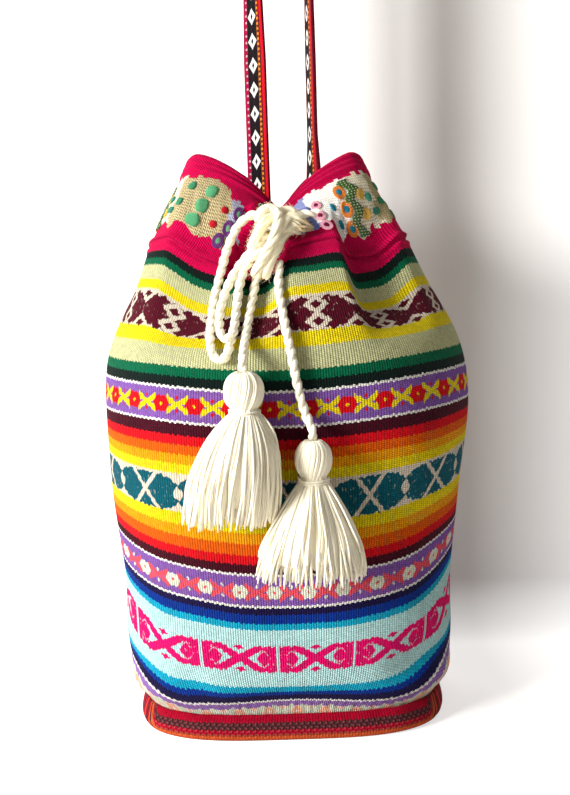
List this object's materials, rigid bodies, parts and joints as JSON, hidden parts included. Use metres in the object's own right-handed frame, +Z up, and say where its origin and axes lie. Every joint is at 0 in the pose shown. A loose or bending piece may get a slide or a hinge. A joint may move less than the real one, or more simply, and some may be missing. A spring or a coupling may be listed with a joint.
{
  "type": "drawstring bag",
  "caption": "Soft bucket bag of striped hand-woven cloth, gathered by a wool drawstring tied in a bow, with tassels, a sewn base and a shoulder strap.",
  "frame": {"origin": "on the ground under the middle of the base", "axes": "+Z up, +X to the right as seen from the front, -Y towards the front with the bow and tassels"},
  "size_m": [0.241, 0.2246, 0.6109],
  "materials": {
    "striped_cloth": "matte warp-faced weave in many stripes",
    "mouth_cloth": "matte plain weave",
    "base_cloth": "matte striped weave",
    "wool": "fuzzy twisted wool",
    "strap_cloth": "matte patterned narrow band"
  },
  "bodies": {
    "bag": {"base_panel": "base_cloth", "base_band": "base_cloth", "bag_body": "striped_cloth", "tunnel_strip": "mouth_cloth", "drawstring": "wool", "shoulder_strap": "strap_cloth"},
    "left_swing": {"left_tail": "wool", "left_tassel": "wool", "left_tassel_tie": "wool"},
    "right_swing": {"right_tail": "wool", "right_tassel": "wool", "right_tassel_tie": "wool"}
  },
  "joints": [
    {"name": "left_tassel_swing", "type": "hinge", "parent": "bag", "child": "left_swing", "pos_m": [-0.0122, -0.0659, 0.298], "axis": [-1, 0, 0], "range_deg": [0, 70]},
    {"name": "right_tassel_swing", "type": "hinge", "parent": "bag", "child": "right_swing", "pos_m": [0.0008, -0.0692, 0.3022], "axis": [-1, 0, 0], "range_deg": [0, 70]}
  ]
}
